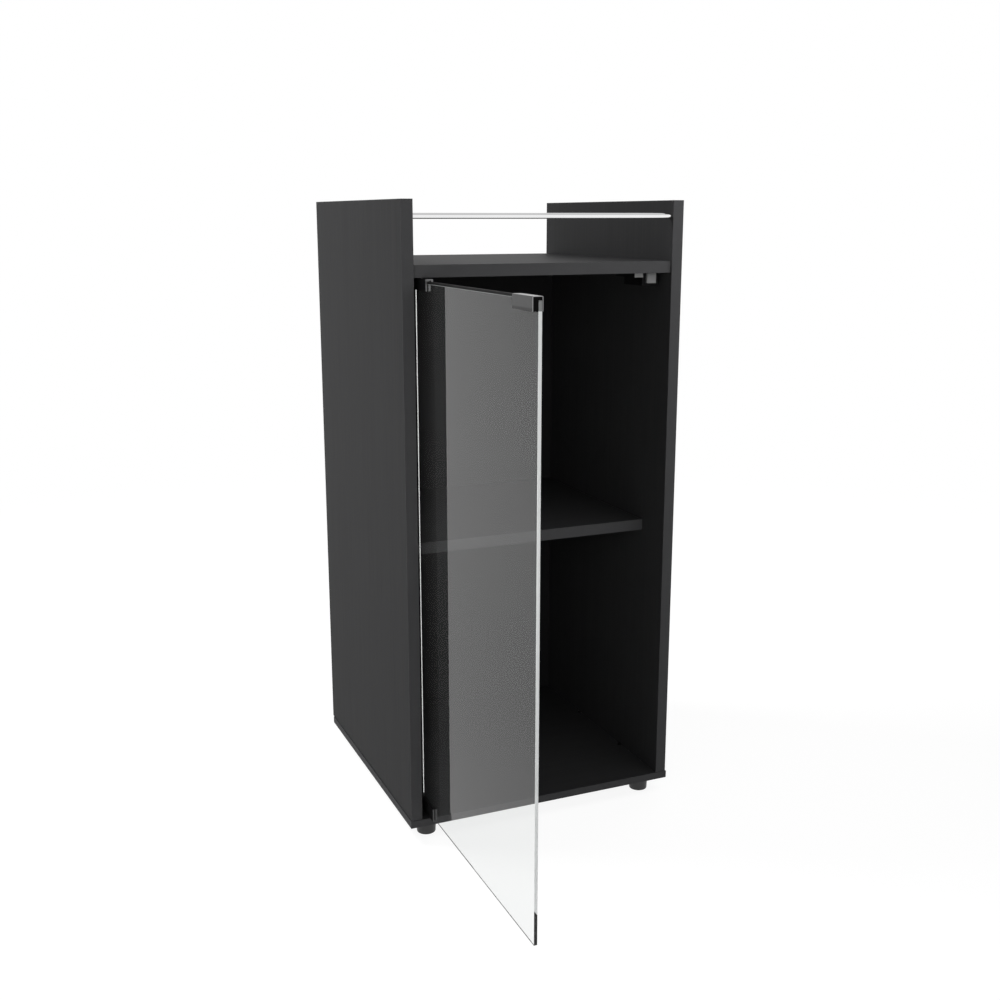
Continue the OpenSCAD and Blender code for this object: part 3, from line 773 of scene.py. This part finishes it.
def finished(name: str, mesh: bpy.types.Mesh, sharp: float) -> Piece:
    """Merges a mesh's doubles, turns its faces outwards and links it as a piece.

    Args:
        name: the piece's name.
        mesh: the mesh.
        sharp: edges that turn by more than this many degrees stay sharp.

    Returns:
        The piece.
    """
    work = bmesh.new()
    work.from_mesh(mesh)
    bmesh.ops.remove_doubles(work, verts=work.verts[:], dist=SAME_POINT)
    bmesh.ops.dissolve_degenerate(work, edges=work.edges[:], dist=NO_LENGTH)
    bmesh.ops.recalc_face_normals(work, faces=work.faces[:])
    work.to_mesh(mesh)
    work.free()
    mesh.shade_smooth()
    mesh.set_sharp_from_angle(angle=math.radians(sharp))
    piece = bpy.data.objects.new(name, mesh)
    bpy.context.scene.collection.objects.link(piece)
    return piece


def even_shading(piece: Piece) -> Piece:
    """Keeps broad faces flat: each point's normal is weighted by the areas of the faces around it.

    Args:
        piece: the piece.

    Returns:
        The same piece.
    """
    weighted = piece.modifiers.new("even_shading", "WEIGHTED_NORMAL")
    weighted.mode = "FACE_AREA"
    weighted.keep_sharp = True
    return piece


@dataclass
class Workshop:
    """What every sub-assembly needs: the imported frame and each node's material slot.

    In a copied CAD node, edges that turn by more than cad_sharp degrees stay sharp, and those that
    turn by more than bevelled_from are broken.
    """

    frame: dict[str, object]
    slots: dict[str, str] = field(init=False)
    cad_sharp: float = 30.0
    bevelled_from: float = 40.0
    bevel_steps: int = 2

    def __post_init__(self) -> None:
        """Reads each node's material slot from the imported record."""
        self.slots = {row["node"]: row["material_slot"] for row in self.frame["record"]["subparts"]}

    def paint(self, piece: Piece, finish: Finish) -> None:
        """Gives a piece one material in all its slots.

        Args:
            piece: the piece.
            finish: its finish.
        """
        material = paint_of(finish)
        if not piece.material_slots:
            piece.data.materials.append(material)
        for slot in piece.material_slots:
            slot.material = material

    def repaint(self, piece: Piece, finish: Finish, towards: Array, least: float) -> None:
        """Gives the faces that look one way a finish of their own.

        A face counts where its normal times the wanted direction is at least the given cosine.

        Args:
            piece: the piece.
            finish: the finish of those faces.
            towards: the wanted direction, a unit vector.
            least: the least cosine.
        """
        mesh = piece.data
        mesh.materials.append(paint_of(finish))
        count = len(mesh.polygons)
        normals = np.empty(count * 3)
        mesh.polygons.foreach_get("normal", normals)
        chosen = np.empty(count, dtype=np.int32)
        mesh.polygons.foreach_get("material_index", chosen)
        chosen[normals.reshape(-1, 3) @ towards >= least] = len(mesh.materials) - 1
        mesh.polygons.foreach_set("material_index", chosen)

    def dress(self, finish: Finish, *names: str) -> None:
        """Gives CAD nodes a finish and reports them.

        Args:
            finish: the finish.
            names: the nodes.
        """
        for name in names:
            self.paint(self.frame["nodes"][name], finish)
            LOG.info("node %s: %s", name, finish.name)

    def stand_in(self, piece: Piece, finish: Finish, node: str) -> None:
        """Puts a new piece in the place of a CAD node, on the same body.

        Args:
            piece: the new piece.
            finish: its finish.
            node: the node that it stands for.
        """
        self.paint(piece, finish)
        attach(piece, self.frame["nodes"][node]["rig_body"])
        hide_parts(node)
        LOG.info("piece %s for %s: %s, %d faces", piece.name, node, finish.name, len(piece.data.polygons))

    def softened(self, node: str, name: str, width: float, finish: Finish) -> Piece:
        """Replaces a CAD node by its own shape with softly broken edges.

        Args:
            node: the node.
            name: the new piece's name.
            width: width of the broken edge.
            finish: its finish.

        Returns:
            The new piece.
        """
        mesh = self.frame["nodes"][node].data.copy()
        mesh.materials.clear()
        work = bmesh.new()
        work.from_mesh(mesh)
        flat = math.radians(SAME_FACE)
        bmesh.ops.remove_doubles(work, verts=work.verts[:], dist=SAME_CAD_POINT)
        bmesh.ops.dissolve_limit(work, angle_limit=flat, verts=work.verts[:], edges=work.edges[:])
        work.to_mesh(mesh)
        work.free()
        piece = finished(name, mesh, self.cad_sharp)
        bevel = piece.modifiers.new("broken_edge", "BEVEL")
        bevel.width = width
        bevel.segments = self.bevel_steps
        bevel.limit_method = "ANGLE"
        bevel.angle_limit = math.radians(self.bevelled_from)
        bevel.harden_normals = False
        self.stand_in(even_shading(piece), finish, node)
        return piece


@dataclass
class Carcass:
    """The side panels, the boards, their edging strips and the back panel."""

    shop: Workshop
    upright: tuple[str, ...] = ("left_side_panel", "right_side_panel")
    level: tuple[str, ...] = ("top_board", "shelf", "base_board")
    strips: tuple[str, ...] = (
        "left_panel_edging",
        "right_panel_edging",
        "top_board_edging",
        "shelf_edging",
        "base_board_edging",
    )

    def build(self) -> None:
        """Dresses the boards: the grain stands upright on the panels and runs across the others."""
        self.shop.dress(UPRIGHT_FOIL, *self.upright)
        self.shop.dress(LEVEL_FOIL, *self.level)
        self.shop.dress(BACK_FOIL, "back_panel")
        self.shop.dress(EDGE_STRIP, *self.strips)


@dataclass
class GalleryRail:
    """The bright metal rail between the side panels."""

    shop: Workshop
    end_round: float = 0.6 * MM
    round_steps: int = 5

    def build(self) -> None:
        """Turns the rail about its own axis, with both ends rounded over."""
        low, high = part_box("gallery_rail")
        radius = (high.z - low.z) / 2
        length = high.x - low.x
        bend = self.end_round
        near = arc((radius - bend, bend), bend, -90.0, 0.0, self.round_steps)
        far = arc((radius - bend, length - bend), bend, 0.0, 90.0, self.round_steps)
        profile = np.concatenate([[[0.0, 0.0]], near, far, [[0.0, length]]])
        centre = np.array([low.x, (low.y + high.y) / 2, (low.z + high.z) / 2])
        piece = skin("rail_bar", turned(profile, centre, Axis.X))
        self.shop.stand_in(piece, RAIL_METAL, "gallery_rail")


@dataclass
class FootSet:
    """The four round feet and their screws."""

    shop: Workshop
    recess_radius: float = 5.5 * MM
    recess_height: float = 12 * MM
    screw_radius: float = 2.25 * MM
    floor_radius: float = 12.5 * MM
    floor_round: float = 1.2 * MM
    round_steps: int = 8
    rim: float = 2 * MM
    groove: float = 0.35 * MM
    chamfer: float = 0.3 * MM

    def profile(self, top_radius: float, height: float) -> Array:
        """The foot's section: up the screw hole's wall, over the top, down the tapered side with a
        fine groove under its rim, round the floor edge, across the floor ring and up the recess.

        Args:
            top_radius: radius at the rim.
            height: height of the foot.

        Returns:
            The closed profile, each point a radius and a height.
        """
        rim_low = height - self.rim
        bend = self.floor_round
        floor_edge = arc((self.floor_radius - bend, bend), bend, 0.0, -90.0, self.round_steps)
        top = [
            (self.screw_radius, self.recess_height),
            (self.screw_radius, height),
            (top_radius - self.chamfer, height),
            (top_radius, height - self.chamfer),
            (top_radius, rim_low + self.groove),
            (top_radius - self.groove, rim_low + self.groove / 2),
            (top_radius - self.groove / 2, rim_low - self.groove),
        ]
        recess = [
            (self.recess_radius + self.chamfer, 0.0),
            (self.recess_radius, self.chamfer),
            (self.recess_radius, self.recess_height),
        ]
        return np.concatenate([top, floor_edge, recess])

    def build(self) -> None:
        """Turns each foot at its node's place."""
        for node in ("foot_front_left", "foot_front_right", "foot_back_left", "foot_back_right"):
            low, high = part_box(node)
            centre = np.array([(low.x + high.x) / 2, (low.y + high.y) / 2, low.z])
            profile = self.profile((high.x - low.x) / 2, high.z - low.z)
            rings = turned(profile, centre, Axis.Z)
            piece = skin(node.replace("foot_", "turned_foot_"), rings, looped=True)
            self.shop.stand_in(piece, FOOT_PLASTIC, node)
        self.shop.dress(ZINC, "foot_screws")


@dataclass
class Fittings:
    """Cam locks, bolts, dowels and screws in the boards, and the corner buttons."""

    shop: Workshop

    def build(self) -> None:
        """Dresses the hidden fittings and the buttons."""
        locks = ("top_cam_locks", "shelf_cam_locks")
        bolts = ("top_cam_bolts", "shelf_cam_bolts", "base_screws")
        self.shop.dress(ZINC, *locks, *bolts)
        self.shop.dress(BEECH, "top_dowels", "shelf_dowels", "base_dowels")
        self.shop.dress(LATCH_BLACK, "corner_buttons")


@dataclass
class DoorFrame:
    """The shut door's own frame and where the stored pose puts it.

    A point (s, t, z) lies s along the door from the glass's hinge edge and t inwards from its
    outer face.
    """

    pivot: Array
    opened: float
    pivot_along: float = 13.5 * MM
    pivot_inward: float = 3 * MM
    glass_thickness: float = 4 * MM
    glass_width: float = 348 * MM
    glass_low: float = 34 * MM
    glass_high: float = 722.5 * MM

    @classmethod
    def from_joint(cls, joint: dict[str, object]) -> DoorFrame:
        """Reads the pivot and the opening angle from the joint, whose upper limit is the shut door."""
        return cls(np.array(joint["pos_m"], float), math.radians(joint["range_deg"][1]))

    def place(self, points: Array) -> Array:
        """Turns points of the shut door's frame to where the door stands.

        Args:
            points: any array whose last axis is (s, t, z).

        Returns:
            The points in the part's frame.
        """
        s = points[..., 0] - self.pivot_along
        t = points[..., 1] - self.pivot_inward
        cos = math.cos(self.opened)
        sin = math.sin(self.opened)
        placed = np.empty_like(points)
        placed[..., 0] = self.pivot[0] + s * cos + t * sin
        placed[..., 1] = self.pivot[1] - s * sin + t * cos
        placed[..., 2] = points[..., 2]
        return placed

    def lengthways(self) -> Array:
        """The unit vector along the door, from its hinge edge to its free edge."""
        return np.array([math.cos(self.opened), -math.sin(self.opened), 0.0])

    def inwards(self) -> Array:
        """The unit vector through the door, from its outer face to its inner one."""
        return np.array([math.sin(self.opened), math.cos(self.opened), 0.0])


@dataclass
class GlassDoor:
    """The glass with its ground edges, and the seal on its upper edge."""

    shop: Workshop
    door: DoorFrame
    corner: float = 1.2 * MM
    corner_steps: int = 6
    ground_edge: float = 0.35 * MM
    pane_sharp: float = 20.0
    seal_start: float = 42 * MM
    seal_stop: float = 299 * MM
    seal_height: float = 2.9 * MM
    seal_round: float = 0.8 * MM
    seal_end_round: float = 0.3 * MM
    face_cosine: float = 0.99
    rim_cosine: float = 0.5

    def pane(self) -> Piece:
        """The sheet: four rings through its thickness, so that each edge has a flat ground chamfer.

        Returns:
            The piece.
        """
        door = self.door
        chamfer = self.ground_edge
        half_width = door.glass_width / 2
        half_height = (door.glass_high - door.glass_low) / 2
        inset = [chamfer, 0.0, 0.0, chamfer]
        depth = np.array([0.0, chamfer, door.glass_thickness - chamfer, door.glass_thickness])
        sizes = [(half_width - cut, half_height - cut, self.corner - cut) for cut in inset]
        loops = np.stack([rounded_loop(*size, self.corner_steps) for size in sizes])
        rings = np.empty((*loops.shape[:2], 3))
        rings[:, :, 0] = half_width + loops[:, :, 0]
        rings[:, :, 1] = depth[:, None]
        rings[:, :, 2] = door.glass_low + half_height + loops[:, :, 1]
        return skin("door_pane", door.place(rings), sharp=self.pane_sharp)

    def seal(self) -> Piece:
        """The slim strip that lies on the upper edge.

        Returns:
            The piece.
        """
        base = self.door.glass_high
        low = np.array([self.seal_start, 0.0, base])
        high = np.array([self.seal_stop, self.door.glass_thickness, base + self.seal_height])
        rings = rounded_bar(low, high, self.seal_round, self.seal_end_round)
        return skin("edge_seal", self.door.place(rings))

    def build(self) -> None:
        """Makes both pieces: the rim is ground at the free edge and on top, the top darkened by painted
        shade, and clear elsewhere.
        """
        pane = self.pane()
        self.shop.stand_in(pane, CLEAR_RIM, "glass_door")
        across = self.door.inwards()
        self.shop.repaint(pane, DOOR_GLASS, across, self.face_cosine)
        self.shop.repaint(pane, DOOR_GLASS, -across, self.face_cosine)
        # The top rim gets the darker copy of the ground glass: painted shade
        self.shop.repaint(pane, SHADED_TOP_RIM, UPWARDS, self.rim_cosine)
        self.shop.repaint(pane, GROUND_RIM, self.door.lengthways(), self.rim_cosine)
        self.shop.stand_in(self.seal(), SEAL_RUBBER, "door_seal")


@dataclass
class PivotClamps:
    """The two clamps on the hinge corners, with liners, screws, pins and bushes."""

    shop: Workshop
    door: DoorFrame
    broken_edge: float = 0.25 * MM
    cut_cosine: float = 0.9

    def build(self) -> None:
        """Breaks the clamps' edges, leaves their cut ends lighter, the lower clamp's darkened by painted
        shade, and dresses the rest.
        """
        upper = self.shop.softened("top_pivot_clamp", "upper_clamp", self.broken_edge, CLAMP_COAT)
        lower = self.shop.softened("bottom_pivot_clamp", "lower_clamp", self.broken_edge, CLAMP_COAT)
        self.shop.repaint(upper, CLAMP_CUT, self.door.lengthways(), self.cut_cosine)
        # The lower clamp's cut ends get the darker copy: painted shade
        self.shop.repaint(lower, SHADED_LOW_CLAMP_CUT, self.door.lengthways(), self.cut_cosine)
        self.shop.dress(RUBBER, "top_clamp_liner", "bottom_clamp_liner")
        self.shop.dress(CLAMP_COAT, "clamp_screws")
        self.shop.dress(STEEL, "top_pivot_pin", "bottom_pivot_pin")
        self.shop.dress(NYLON, "top_pivot_bush", "bottom_pivot_bush")


@dataclass
class Strike:
    """The glossy black channel on the glass's free upper corner, and its dark filling."""

    shop: Workshop
    door: DoorFrame
    length: float = 48.5 * MM
    height: float = 14.6 * MM
    rise: float = 4 * MM
    stand_off: float = 6.3 * MM
    pad: float = 0.3 * MM
    sheet: float = 0.7 * MM
    bend: float = 0.8 * MM
    bend_steps: int = 6
    cut_round: float = 0.25 * MM
    cut_steps: int = 3
    cut_cosine: float = 0.4

    def clip(self) -> Piece:
        """The bent sheet: its rounded section goes up the outer leg, over the top and down inside.

        Returns:
            The piece.
        """
        half = self.sheet / 2
        top = self.door.glass_high + self.rise
        low = top - self.height
        outer = -self.stand_off + half
        inner = self.door.glass_thickness + self.pad + self.sheet - half
        web = top - half
        steps = self.bend_steps
        outer_bend = arc((outer + self.bend, web - self.bend), self.bend, 180.0, 90.0, steps)
        inner_bend = arc((inner - self.bend, web - self.bend), self.bend, 90.0, 0.0, steps)
        path = np.concatenate([[[outer, low]], outer_bend, inner_bend, [[inner, low]]])
        first = arc((0.0, 0.0), 1.0, 180.0, 90.0, steps)
        second = arc((0.0, 0.0), 1.0, 90.0, 0.0, steps)
        normals = np.concatenate([first[:1], first, second, second[-1:]])
        section = rounded_loop(self.length / 2, half, self.cut_round, self.cut_steps)
        section[:, 0] += self.door.glass_width - self.length / 2
        return skin("strike_channel", self.door.place(carried(path, normals, section)))

    def build(self) -> None:
        """Makes the clip with its lighter cut end, and dresses its filling."""
        clip = self.clip()
        self.shop.stand_in(clip, STRIKE_COAT, "strike_clip")
        self.shop.repaint(clip, STRIKE_CUT, self.door.lengthways(), self.cut_cosine)
        self.shop.dress(STRIKE_FILLING, "strike_pad")


@dataclass
class PushLatch:
    """The push latch under the top board: housing, bracket, plunger, magnet and spring."""

    shop: Workshop
    soft_edge: float = 0.3 * MM
    front_cosine: float = 0.9

    def build(self) -> None:
        """Breaks the edges of the moulded pieces, paints the bracket's front grey and dresses the rest."""
        self.shop.softened("latch_housing", "latch_body", self.soft_edge, LATCH_BLACK)
        bracket = self.shop.softened("latch_bracket", "latch_plate", self.soft_edge, LATCH_BLACK)
        self.shop.repaint(bracket, LATCH_PAINT, TOWARDS_FRONT, self.front_cosine)
        self.shop.softened("latch_plunger", "latch_tongue", self.soft_edge, PLUNGER_GREY)
        self.shop.dress(MAGNET_GREY, "latch_magnet")
        self.shop.dress(STEEL, "latch_spring")
        self.shop.dress(ZINC, "latch_screws")


@dataclass
class PhotoCamera:
    """The camera that the photograph's edges give."""

    lens_mm: float = 43.643
    sensor_mm: float = 36.0
    place: Triple = (-0.652481, -1.562271, 0.800292)
    turned_right: float = 23.156
    tilted_down: float = 13.184
    nearest: float = 0.05
    farthest: float = 80.0

    def build(self) -> None:
        """Places the camera: it looks along +Y, turned to the right and tilted down."""
        data = bpy.data.cameras.new("photo_camera")
        data.lens = self.lens_mm
        data.sensor_width = self.sensor_mm
        data.clip_start = self.nearest
        data.clip_end = self.farthest
        camera = bpy.data.objects.new("photo_camera", data)
        camera.location = self.place
        tilt = math.radians(90.0 - self.tilted_down)
        camera.rotation_euler = (tilt, 0.0, math.radians(-self.turned_right))
        bpy.context.scene.collection.objects.link(camera)
        bpy.context.scene.camera = camera


@dataclass(frozen=True)
class SoftLamp:
    """A large soft lamp that faces the cabinet and isn't reflected itself."""

    name: str
    place: Triple
    watts: float
    side: float
    aim: Triple = (0.0, 0.0, 0.4)

    def build(self) -> None:
        """Makes the square lamp and turns it towards its aim."""
        data = bpy.data.lights.new(self.name, "AREA")
        data.energy = self.watts
        data.size = self.side
        lamp = bpy.data.objects.new(self.name, data)
        lamp.location = self.place
        direction = Vector(self.aim) - Vector(self.place)
        lamp.rotation_euler = direction.to_track_quat("-Z", "Y").to_euler()
        lamp.visible_glossy = False
        lamp.visible_camera = False
        lamp.visible_transmission = False
        bpy.context.scene.collection.objects.link(lamp)


@dataclass
class Studio:
    """A plain white floor, a white world and soft lamps.

    The world lights the object at the ambient level. Mirrored in metal, it is grey above the height
    ceiling_from. The floor is a disc that keeps part of the object's shadow: shadow_share of it up to
    the radius shadow_full, and none past shadow_reach. The lift makes up for it where no shadow lies.
    """

    ambient: float = 0.20
    ceiling_from: float = 0.36
    ceiling_grey: float = 0.64
    ceiling_slope: float = 8.0
    floor_radius: float = 14.0
    floor_inner: float = 0.6
    floor_depth: float = 0.01
    floor_white: float = 0.97
    shadow_share: float = 0.16
    shadow_reach: float = 2.2
    shadow_full: float = 1.0
    lift: float = 0.08
    mirror_reach: float = 2.5
    mirror_drop: float = 0.2
    lamps: tuple[SoftLamp, ...] = (
        SoftLamp("left_lamp", (-1.4, 0.9, 2.3), 51.0, 0.9),
        SoftLamp("far_front_lamp", (-1.28, -2.217, 0.851), 12.0, 1.4),
        SoftLamp("near_front_lamp", (0.3, -0.5, 1.0), 2.75, 0.6),
        SoftLamp("left_front_lamp", (-0.42, -0.5, 0.5), 0.52, 0.3),
        SoftLamp("right_lamp", (2.4, 1.6, 2.2), 20.0, 2.0),
    )

    def seen_directly(self, net: ShaderNet) -> Num:
        """A mask that is 1 for camera, glossy and transmitted rays, unless a matt surface scattered them.

        Args:
            net: the node tree.

        Returns:
            The mask.
        """
        unseen = (1.0 - net.ray("Is Camera Ray")) * (1.0 - net.ray("Is Glossy Ray"))
        unseen = unseen * (1.0 - net.ray("Is Transmission Ray"))
        return (1.0 - unseen) * (1.0 - net.ray("Diffuse Depth").clipped())

    def mirrored(self, net: ShaderNet) -> Num:
        """A mask that is 1 for what a surface mirrors, and 0 for what is seen through glass."""
        return net.ray("Is Glossy Ray") * (1.0 - net.ray("Is Transmission Ray"))

    def world(self) -> None:
        """The white surroundings: full white where they are seen, the ambient level as light."""
        world = bpy.data.worlds.new("studio")
        world.use_nodes = True
        net = ShaderNet(world.node_tree)
        _, _, height = net.place()
        above = ((height - self.ceiling_from) * self.ceiling_slope).clipped()
        seen = self.seen_directly(net) * (1.0 - self.ambient) + self.ambient
        strength = seen - self.mirrored(net) * (above * (1.0 - self.ceiling_grey))
        light = net.node("ShaderNodeBackground", values={"Color": rgba(WHITE), "Strength": strength})
        net.node("ShaderNodeOutputWorld", values={"Surface": light})
        bpy.context.scene.world = world

    def floor(self) -> None:
        """The floor: white of its own with a share that is lit and shaded near the object.

        What metal and glass mirror of it is a little greyer close to the object.
        """
        radii = [0.0, self.floor_inner, self.floor_radius, self.floor_radius, 0.0]
        heights = [0.0, 0.0, 0.0, -self.floor_depth, -self.floor_depth]
        profile = np.stack([radii, heights], axis=1)
        piece = skin("floor", turned(profile, np.zeros(3), Axis.Z))
        material, net = new_material("floor_white")
        x, y, _ = net.place()
        radius = (x ** 2.0 + y ** 2.0) ** 0.5
        fade = 1.0 / (self.shadow_reach - self.shadow_full)
        mirrored = self.mirrored(net)
        near = ((self.shadow_reach - radius) * fade).clipped() * (1.0 - mirrored)
        greyer = (1.0 - radius * (1.0 / self.mirror_reach)).clipped() * mirrored
        strength = near * self.lift - greyer * self.mirror_drop + 1.0
        own = net.node("ShaderNodeEmission", values={"Color": rgba(WHITE), "Strength": strength})
        lit_colour = rgba(shade(WHITE, self.floor_white))
        lit = net.node("ShaderNodeBsdfDiffuse", values={"Color": lit_colour})
        share = self.seen_directly(net) * (1.0 - near * self.shadow_share)
        net.surface(net.mixed(share, lit, own))
        piece.data.materials.append(material)

    def build(self) -> None:
        """Makes the world, the floor and the lamps."""
        self.world()
        self.floor()
        for lamp in self.lamps:
            lamp.build()


def corners(box: tuple[Vector, Vector]) -> list[list[float]]:
    """The lowest and the highest corner of a box as lists of numbers."""
    return [[float(value) for value in corner] for corner in box]


def main() -> None:
    """Builds the camera, the studio and each sub-assembly in order."""
    logging.basicConfig(level=logging.INFO, format="%(name)s: %(message)s")
    bpy.context.scene.view_settings.view_transform = "Standard"
    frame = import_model()
    PhotoCamera().build()
    Studio().build()
    shop = Workshop(frame)
    joints = {joint["name"]: joint for joint in frame["joints"]}
    door = DoorFrame.from_joint(joints["door_pivot"])
    assemblies = (
        Carcass(shop),
        GalleryRail(shop),
        FootSet(shop),
        Fittings(shop),
        GlassDoor(shop, door),
        PivotClamps(shop, door),
        Strike(shop, door),
        PushLatch(shop),
    )
    for assembly in assemblies:
        assembly.build()
        LOG.info("%s is built", type(assembly).__name__)


if __name__ == "__main__":
    main()
